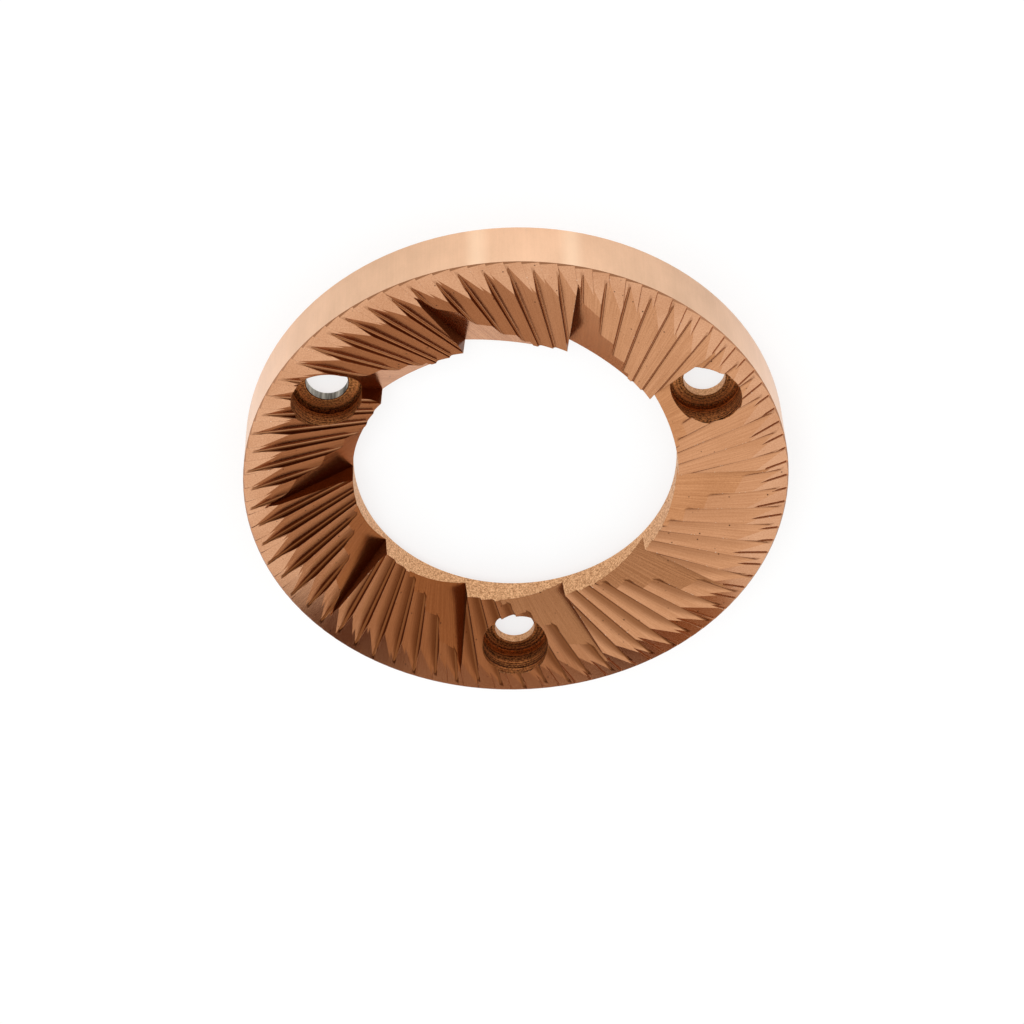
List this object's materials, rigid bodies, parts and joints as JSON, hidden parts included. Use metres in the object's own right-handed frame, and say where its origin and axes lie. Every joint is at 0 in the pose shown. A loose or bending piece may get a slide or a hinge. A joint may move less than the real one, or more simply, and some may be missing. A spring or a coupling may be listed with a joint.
{
  "type": "flat coffee grinder burr",
  "caption": "Flat grinding ring of coated steel with deep breaker steps at the bore, slanting grooves, fine saw teeth round the rim and counterbored screw holes.",
  "frame": {"origin": "centre of the ring, on the plane of its back", "axes": "+Z along the ring's axis, out of the toothed face; -Y towards one of the screw holes"},
  "size_m": [0.064, 0.064, 0.007],
  "materials": {
    "coated_steel": "hardened steel with a satin copper-coloured coating, ground teeth, grainier bore and screw seats"
  },
  "bodies": {
    "root": {"burr": "coated_steel"}
  },
  "joints": []
}
